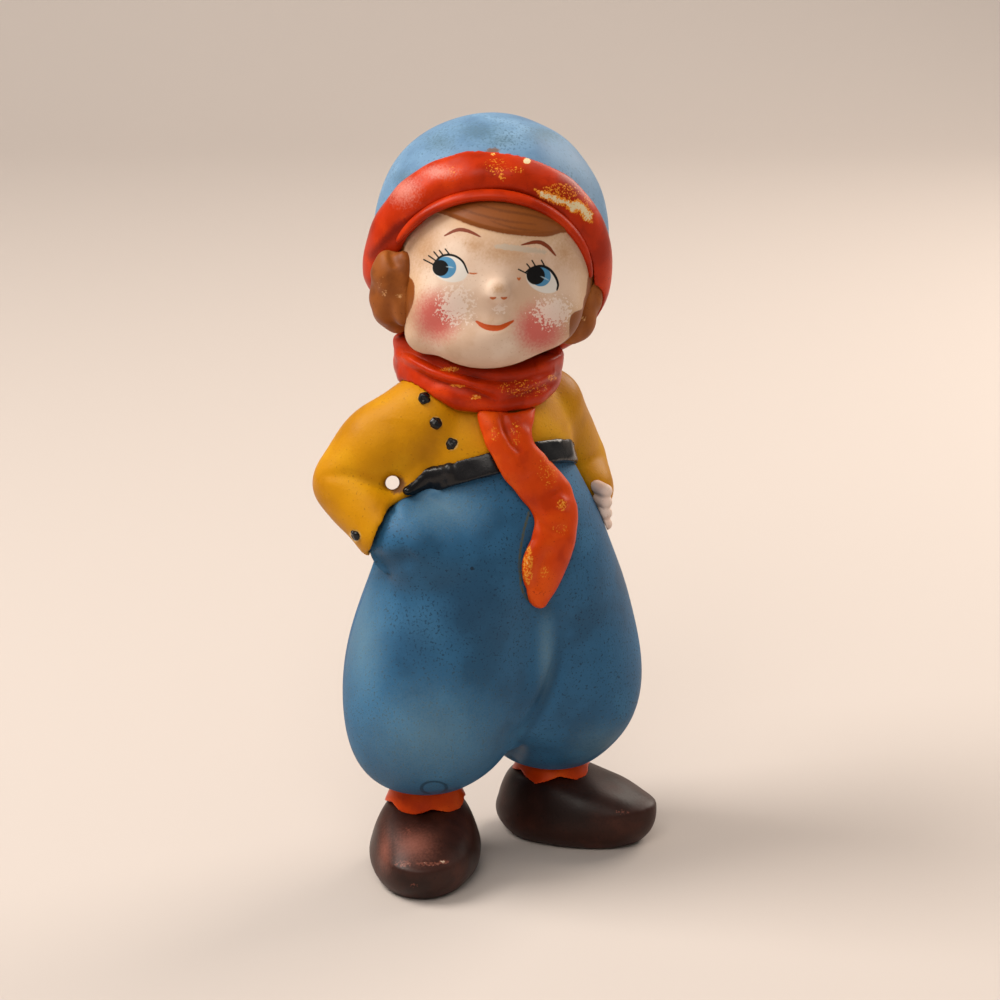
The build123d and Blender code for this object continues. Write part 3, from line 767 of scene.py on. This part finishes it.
def cutFiner(obj, box, least):  # halves the edges where fine brush work needs it
    x0, y0, x1, y1 = box
    xy, front = pictured(obj)
    fine = (xy[:, 0] > x0) & (xy[:, 0] < x1) & (xy[:, 1] > y0) & (xy[:, 1] < y1) & (front > least)
    shape = bmesh.new()
    shape.from_mesh(obj.data)
    edges = [e for e in shape.edges if fine[e.verts[0].index] and fine[e.verts[1].index]]
    bmesh.ops.subdivide_edges(shape, edges=edges, cuts=1, use_grid_fill=True)
    shape.to_mesh(obj.data)
    shape.free()
    obj.data.polygons.foreach_set("use_smooth", np.ones(len(obj.data.polygons), bool))


def makeHead():
    obj = castFrom("paintedHead", ["head"], face["voxel"], face["rub"], face["jaw"])
    co = places(obj)
    clear = np.hypot(*(onPicture(co) - face["noseAt"]).T)
    nose = (1 - ease(clear, face["noseClear"] * face["noseHeld"], face["noseClear"])) * seen(obj, co)
    move(obj, evened(obj, co, face["cheekRub"], nose))
    cutFiner(obj, face["detail"], face["detailSeen"])
    co = places(obj)
    xy, front = pictured(obj)
    skin = smoothPath(face["outline"] + face["outline"][:1], steps=4)
    bare = within(xy, skin) - face["hairHide"] * (1 - front)
    lift = ease(-bare, *face["fringeEdge"]) * face["fringeRise"] * ease(co[:, 2], *face["fringeFrom"])
    mouthGap, _ = gapTo(xy, smoothPath(face["mouth"]["path"]))
    lift -= face["lipSink"] * np.exp(-((mouthGap / face["lipWide"]) ** 2)) * front
    move(obj, co + outward(obj) * lift[:, None])

    hidden = hideMarks * (1 - front)
    black = [stroke(xy, lid) for lid in face["lids"]]
    lashBrush = {"thick": face["lashThick"], "ends": face["lashThick"]}
    black += [stroke(xy, {"path": lash, **lashBrush}) for lash in face["lashes"]]
    black += [pupil["radius"] - np.hypot(*(xy - pupil["at"]).T) for pupil in face["pupils"]]
    whites = np.max([within(xy, smoothPath(white + white[:1], steps=4)) for white in face["whites"]], 0)
    irises = np.max([iris["radius"] - np.hypot(*(xy - iris["at"]).T) for iris in face["irises"]], 0)
    store(obj, "hair", -bare)
    store(obj, "black", np.max(black, 0) - hidden)
    store(obj, "white", whites - hidden)
    store(obj, "iris", np.minimum(irises, whites + face["irisOver"]) - hidden)
    store(obj, "brow", strokes(xy, face["brows"]) - hidden)
    store(obj, "lip", stroke(xy, face["mouth"]) - hidden)
    store(obj, "corner", strokes(xy, face["corners"]) - hidden)
    store(obj, "smear", stroke(xy, face["smear"]) - hidden)
    store(obj, "glint", strokes(xy, face["glints"]) - hidden)
    store(obj, "strand", strokes(xy, face["strands"]) - hidden)
    store(obj, "rouge", patches(xy, face["rouge"]) - hidden)
    store(obj, "stainAndShade", patches(xy, face["stainsAndShade"]) - hidden)
    store(obj, "tan", 1 - bare / face["tanWide"] - hidden)
    store(obj, "rubbed", patches(xy, face["worn"]) - hidden)
    weather(obj, face["hollowRub"])
    marks = [
        {"from": "tan", "rag": 0.5, "edge": (0.1, 1.5), "colour": "#C9A27A"},
        # stains, and painted shade on the temples and forehead
        {"from": "stainAndShade", "rag": 0.8, "edge": (0.0, 1.3), "colour": "#B98F68"},
        {"from": "rouge", "rag": 0.5, "edge": (0.0, 0.75), "colour": "#C9665C"},
        {"from": "rubbed", "rag": 2.6, "edge": (0.3, 0.5), "colour": "#E6D3C6", "most": 0.85},
        {"from": "smear", "rag": 5.0, "edge": (-0.5, 1.5), "colour": "#BFAC98"},
        {"from": "white", "rag": 0.0, "edge": (-1.0, 0.6), "colour": "#DAD4CC"},
        {"from": "iris", "rag": 0.0, "edge": (-0.4, 0.4), "colour": "#4C88B0"},
        {"from": "brow", "rag": 0.6, "edge": (-0.4, 0.4), "colour": "#7A3318"},
        {"from": "lip", "rag": 0.8, "edge": (-0.4, 0.4), "colour": "#BC4A12"},
        {"from": "corner", "rag": 0.6, "edge": (-0.5, 0.5), "colour": "#B9602F"},
        {"from": "black", "rag": 0.0, "edge": (-0.35, 0.35), "colour": "#08080A"},
        {"from": "glint", "rag": 0.0, "edge": (-0.3, 0.5), "colour": "#B4CBD6", "most": 0.7},
        {"from": "hair", "rag": 1.2, "edge": (-0.5, 0.8), "colour": "#864818"},
        {"from": "strand", "rag": 2.0, "edge": (-1.0, 1.4), "colour": "#592C0C", "most": 0.55},
    ]
    finish = paintedPlaster("flesh distemper on plaster", fleshDistemper, marks)
    fitted(obj, finish, "flesh_paint", "head", "hair_fringe")


# Hair beside the cheeks

hair = {
    "voxel": 0.5,
    "rub": 22,
    "uneven": {"size": 8.0, "depth": 0.25, "seed": 13},
    "hollowRub": 10,
    "tufts": {  # mm; hair that comes out over the brim's end
        "right": [
            {"at": (-30.4, 0.2, 200.6), "radii": (5.4, 6.0, 8.0)},
            {"at": (-29.0, 0.5, 196.5), "radii": (5.0, 6.0, 7.0)},
            {"at": (-27.0, -3.2, 200.0), "radii": (4.4, 4.6, 8.6)},
            {"at": (-27.0, -4.0, 192.0), "radii": (4.5, 4.5, 8.0)},
            {"at": (-30.0, 2.4, 192.5), "radii": (5.2, 6.0, 9.0)},
        ],
        "left": [{"at": (31.5, -26.6, 189.8), "radii": (3.5, 3.5, 6.0)}],
    },
    "tuck": 1.4,  # mm; how far the left bob is drawn in under the cheek
    "tuckFrom": 202.0,  # mm up, where it starts; full from tuckTo down
    "tuckTo": 187.0,
    "folds": [
        {"path": [(393, 243), (392, 255), (396, 268)], "width": 1.4, "depth": 1.0},
        {"path": [(378, 285), (392, 288), (410, 286)], "width": 2.2, "depth": -0.7},
        {"path": [(577, 312), (584, 322), (580, 335)], "width": 1.4, "depth": 0.6},
    ],
    "chips": [
        {"at": (384, 293), "size": (5, 5), "most": 0.36}, {"at": (399, 296), "size": (6, 4), "most": 0.38},
        {"at": (583, 318), "size": (5, 5), "most": 0.36}, {"at": (380, 280), "size": (10, 16), "most": 0.2},
    ],
}


def makeHair(finish):
    for side in ("right", "left"):
        node = side + "_hair_lock"
        obj = castFrom(side + "Bob", [node], hair["voxel"], hair["rub"], hair["tufts"][side])
        if side == "left":
            co = places(obj)
            tuck = hair["tuck"] * (1 - ease(co[:, 2], hair["tuckTo"], hair["tuckFrom"]))
            move(obj, co - viewRight * tuck[:, None])
        press(obj, hair["folds"])
        unevenly(obj, **hair["uneven"])
        xy, front = pictured(obj)
        weather(obj, hair["hollowRub"], wornAt(xy, hair["chips"]) * front)
        fitted(obj, finish, "hair_paint", node)


# Cap

cap = {
    "headAt": (5.78, -5.62, 200.5),  # mm; the middle of the head
    "turns": ((-29.0, "Z"), (-18.0, "X"), (5.0, "Y")),  # degrees; how the head is held
    "offset": -2.0,  # mm sideways, from the middle of the head to the cap
    "tilt": -53.0,  # degrees; how the cap leans on the head
    "crownVoxel": 0.8,
    "crownRub": 12,
    "crownUneven": {"size": 24.0, "depth": 0.25, "seed": 17},
    "crownHollowRub": 20,
    "brimVoxel": 0.5,
    "brimRub": 8,
    "brimUneven": {"size": 12.0, "depth": 0.25, "seed": 19},
    "brimHollowRub": 12,
    "brimFolds": [
        {"path": [(373, 255), (401, 227), (431, 211), (464, 199), (505, 192), (538, 202), (562, 218)],
         "width": 1.2, "depth": 0.6},
        {"path": [(382, 198), (412, 175), (450, 158), (493, 151), (529, 155), (564, 171), (600, 206)],
         "width": 2.2, "depth": -1.4},
        {"path": [(400, 200), (440, 180), (480, 171), (520, 174), (556, 190)], "width": 3.5, "depth": -0.5},
    ],
    "brimThin": 2.6,  # mm; how much the roll thins as it runs down behind the hair
    "thinFrom": 198.0,  # mm up, where it starts; full from thinTo down
    "thinTo": 184.0,
    "underShadeWide": 9.0,  # px; painted shade along the lower side of the roll
    "sheen": [{"at": (403, 190), "size": (24, 22)}, {"at": (440, 172), "size": (26, 10)}],
    "bandRadius": 32.6,  # mm, to the middle of the thin roll inside the brim
    "bandFront": -11.6,  # mm along the cap's own axis
    "bandArc": (203.0, 352.0),  # degrees; the run that comes out between the two locks
    "bandRoll": (2.4, 1.7),  # half height and half thickness of the roll
    "bandCuts": (20, 120),  # faces round the roll and along it
    "bandBlunt": 0.25,  # power; how bluntly the roll ends
    "bandTip": 0.001,  # keeps the end rings open
    "bare": [  # px; where the undercoat shows
        (536, 190), (546, 193), (556, 196), (570, 202), (579, 201), (585, 206), (592, 214), (591, 221),
        (585, 220), (580, 211), (572, 212), (566, 205), (554, 202), (542, 197),
    ],
    "bareMost": 0.68,
    "bareEdge": (-7.0, 4.0),  # px from outside the outline to inside it
    "chips": [
        {"at": (527, 161), "size": (5, 4), "most": 0.8}, {"at": (493, 154), "size": (4, 2), "most": 0.5},
    ],
    "flecks": [
        {"at": (496, 166), "size": (18, 14), "most": 0.27}, {"at": (502, 177), "size": (6, 6), "most": 0.36},
        {"at": (517, 170), "size": (12, 6), "most": 0.3}, {"at": (560, 192), "size": (30, 14), "most": 0.32},
        {"at": (588, 198), "size": (8, 10), "most": 0.3}, {"at": (452, 171), "size": (5, 9), "most": 0.28},
    ],
    "smudges": [
        {"at": (480, 132), "size": (44, 16)}, {"at": (440, 142), "size": (26, 16)},
        {"at": (545, 134), "size": (34, 14)}, {"at": (500, 140), "size": (30, 12)},
        {"at": (405, 178), "size": (20, 14)},
    ],
    "notch": {"at": (493, 150.5), "size": (9, 3.5)},
}


def makeCrown():
    obj = castFrom("capCrown", ["cap_crown"], cap["crownVoxel"], cap["crownRub"])
    unevenly(obj, **cap["crownUneven"])
    xy, front = pictured(obj)
    hidden = hidePatches * (1 - front)
    store(obj, "smudge", patches(xy, cap["smudges"]) - hidden)
    store(obj, "notch", patch(xy, cap["notch"]) - hidden)
    weather(obj, cap["crownHollowRub"])
    marks = [
        {"from": "smudge", "rag": 1.6, "edge": (0.0, 1.2), "colour": "#55717F", "most": 0.7},
        {"from": "notch", "rag": 0.8, "edge": (0.0, 0.5), "colour": "#7E5C47", "most": 0.9},
    ]
    finish = paintedPlaster("faded blue distemper on plaster", capDistemper, marks)
    fitted(obj, finish, "blue_paint", "cap_crown")


def makeBrim():
    obj = castFrom("rolledBrim", ["cap_brim"], cap["brimVoxel"], cap["brimRub"])
    co = places(obj)
    thin = cap["brimThin"] * (1 - ease(co[:, 2], cap["thinTo"], cap["thinFrom"])) * (co[:, 0] < 0)
    move(obj, co - outward(obj) * thin[:, None])
    press(obj, cap["brimFolds"])
    unevenly(obj, **cap["brimUneven"])
    xy, front = pictured(obj)
    hidden = hidePatches * (1 - front)
    bare = cap["bareMost"] * ease(within(xy, np.array(cap["bare"], float)), *cap["bareEdge"])
    worn = np.maximum(bare, wornAt(xy, cap["chips"] + cap["flecks"])) * front
    weather(obj, cap["brimHollowRub"], worn)
    underShadeGap, _ = gapTo(xy, smoothPath(cap["brimFolds"][0]["path"]))
    store(obj, "underShade", 1 - underShadeGap / cap["underShadeWide"] - hidden)
    store(obj, "sheen", patches(xy, cap["sheen"]) - hidden)
    marks = [
        # painted shade along the underside of the roll
        {"from": "underShade", "rag": 0.6, "edge": (0.0, 1.0), "colour": "#6E1403", "most": 0.75},
        {"from": "sheen", "rag": 1.2, "edge": (0.0, 1.1), "colour": "#DC9080", "most": 0.7},
    ]
    finish = paintedPlaster("worn orange-red oil paint on plaster", redOil, marks)
    fitted(obj, finish, "red_paint", "cap_brim")


def makeBand(finish):
    held = Matrix.Translation(Vector(cap["headAt"]))
    for angle, axis in cap["turns"]:
        held = held @ Matrix.Rotation(math.radians(angle), 4, axis)
    held = held @ Matrix.Translation((cap["offset"], 0, 0))
    held = held @ Matrix.Rotation(math.radians(cap["tilt"]), 4, "X")
    shape = bmesh.new()
    rings = []
    high, thick = cap["bandRoll"]
    across, along = cap["bandCuts"]
    start, end = (math.radians(angle) for angle in cap["bandArc"])
    for step in range(along + 1):
        bearing = start + (end - start) * step / along
        swell = max(math.sin(math.pi * step / along), cap["bandTip"]) ** cap["bandBlunt"]
        ring = []
        for part in range(across):
            lean = 2 * math.pi * part / across
            out = cap["bandRadius"] + swell * thick * math.cos(lean)
            lift = cap["bandFront"] + swell * high * math.sin(lean)
            at = (out * math.cos(bearing), out * math.sin(bearing), lift)
            ring.append(shape.verts.new(held @ Vector(at) / mmInM))
        rings.append(ring)
    for ring, after in zip(rings, rings[1:]):
        for part in range(across):
            other = (part + 1) % across
            shape.faces.new((ring[part], after[part], after[other], ring[other]))
    shape.faces.new(rings[0])
    shape.faces.new(rings[-1])
    bmesh.ops.recalc_face_normals(shape, faces=shape.faces)
    obj = linked("brimBand", shape)
    fitted(obj, finish, "red_paint", "cap_band")


# Clogs and socks

feet = {
    "clogVoxel": 0.6,
    "clogRub": 4,
    "clogUneven": {"size": 14.0, "depth": 0.2, "seed": 23},
    "clogHollowRub": 12,
    "sockVoxel": 0.4,
    "sockRub": 4,
    "sockHollowRub": 10,
    "spread": {"right": 1.6, "left": 1.4},  # mm; how far the walls widen towards the floor
    "spreadFrom": 20.0,  # mm up, where it starts; full from spreadTo down
    "spreadTo": 3.0,
    "scuffs": [
        {"at": (403, 864), "size": (14, 5), "most": 0.4}, {"at": (428, 864), "size": (18, 3.5), "most": 0.4},
        {"at": (444, 862), "size": (8, 3), "most": 0.5}, {"at": (414, 886), "size": (6, 4), "most": 0.34},
        {"at": (622, 812), "size": (12, 4), "most": 0.32}, {"at": (408, 832), "size": (6, 8), "most": 0.3},
    ],
    # px; painted highlight where light falls on the right clog's vamp
    "clogHighlights": [{"at": (414, 845), "size": (34, 28)}, {"at": (385, 850), "size": (12, 34)}],
    # px; painted shade where the trousers shade the left clog
    "clogShade": [{"at": (566, 806), "size": (66, 44)}],
}


def makeFeet(orange):
    varnish = paintedPlaster("brown varnish on plaster", clogVarnish, [
        # painted highlight on the lit vamp
        {"from": "clogHighlight", "rag": 0.7, "edge": (0.0, 1.3), "colour": "#94594A", "most": 0.75},
        # painted shade where the trousers shade the left clog
        {"from": "clogShade", "rag": 0.5, "edge": (0.0, 0.9), "colour": "#160A07", "most": 0.8},
    ])
    for side in ("right", "left"):
        obj = castFrom(side + "ClogShape", [side + "_clog"], feet["clogVoxel"], feet["clogRub"])
        unevenly(obj, **feet["clogUneven"])
        co = places(obj)
        low = 1 - ease(co[:, 2], feet["spreadTo"], feet["spreadFrom"])
        co[:, :2] += outward(obj)[:, :2] * (feet["spread"][side] * low)[:, None]
        co[:, 2] = np.maximum(co[:, 2], 0.0)
        move(obj, co)
        xy, front = onPicture(co), seen(obj, co)
        hidden = hidePatches * (1 - front)
        store(obj, "clogHighlight", patches(xy, feet["clogHighlights"]) - hidden)
        store(obj, "clogShade", patches(xy, feet["clogShade"]) - hidden)
        weather(obj, feet["clogHollowRub"], wornAt(xy, feet["scuffs"]) * front)
        fitted(obj, varnish, "brown_paint", side + "_clog")
        sock = castFrom(side + "SockCuff", [side + "_sock"], feet["sockVoxel"], feet["sockRub"])
        weather(sock, feet["sockHollowRub"])
        fitted(sock, orange, "red_paint", side + "_sock")


# Floor and light

studio = {
    "floorHalf": 2.5,  # m; half the sheet's width, its run in front and the height of its wall
    "wallAt": 1.1,  # m behind the figure, where the sheet starts to bend up
    "bend": 0.45,
    "bendCuts": 16,
    "worldColour": "#F4F0EC",
    "worldStrength": 0.3,
    "lamps": [  # place and size in m, power in W
        {"name": "windowLeft", "at": (-0.8, 0.5, 1.3), "size": 0.8, "power": 24.0, "colour": "#FFF8F0"},
        {"name": "softFront", "at": (-0.75, -0.8, 1.4), "size": 0.9, "power": 9.7, "colour": "#FFF6EC"},
        {"name": "kicker", "at": (1.0, 0.2, 0.7), "size": 0.7, "power": 10.0, "colour": "#FFF3E6"},
    ],
    "aim": (0.0, -0.01, 0.13),  # m; the middle of the figure, where the lamps point
}


def makeStudio():
    shape = bmesh.new()
    half, bend = studio["floorHalf"], studio["bend"]
    line = [(-half, 0.0)]
    for step in range(studio["bendCuts"] + 1):
        angle = math.pi / 2 * step / studio["bendCuts"]
        line.append((studio["wallAt"] + bend * math.sin(angle), bend * (1 - math.cos(angle))))
    line.append((studio["wallAt"] + bend, half))
    across = Matrix.Rotation(math.radians(view["azimuth"]), 4, "Z")
    rows = [[shape.verts.new(across @ Vector((x, y, z))) for x in (-half, half)] for y, z in line]
    for (a, b), (c, d) in zip(rows, rows[1:]):
        shape.faces.new((a, b, d, c))
    floor = linked("paleFloor", shape)
    floor.data.materials.append(plainFinish("matt paper backdrop", mattPaper))

    world = bpy.data.worlds.new("studio air")
    bpy.context.scene.world = world
    world.use_nodes = True
    air = world.node_tree.nodes["Background"]
    air.inputs["Color"].default_value = paintColour(studio["worldColour"])
    air.inputs["Strength"].default_value = studio["worldStrength"]
    for lamp in studio["lamps"]:
        light = bpy.data.lights.new(lamp["name"], "AREA")
        light.size = lamp["size"]
        light.energy = lamp["power"]
        light.color = paintColour(lamp["colour"])[:3]
        obj = bpy.data.objects.new(lamp["name"], light)
        bpy.context.scene.collection.objects.link(obj)
        obj.location = lamp["at"]
        obj.rotation_euler = (Vector(studio["aim"]) - Vector(lamp["at"])).to_track_quat("-Z", "Y").to_euler()
    bpy.context.scene.view_settings.view_transform = "Standard"


placeCamera()
makeStudio()
print("studio set")
makeTrousers()
makeJacket()
print("clothes cast")
blackPaint = paintedPlaster("black japan on plaster", blackJapan)
redPaint = paintedPlaster("orange-red oil paint on plaster", redOil)
orangePaint = paintedPlaster("orange oil paint on plaster", orangeOil)
hairPaint = paintedPlaster("brown hair wash on plaster", hairWash)
makeBelt(blackPaint)
makeButtons(blackPaint)
makeHand()
makeScarf(redPaint, orangePaint)
makeHead()
makeHair(hairPaint)
print("head and hair done")
makeCrown()
makeBrim()
makeBand(redPaint)
makeFeet(orangePaint)
print("cap and feet done")
wireIron = plainFinish("rusted iron wire", rustedIron)
for side in ("right", "left"):
    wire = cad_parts[side + "_leg_wire"]
    wire.data.materials.clear()
    wire.data.materials.append(wireIron)
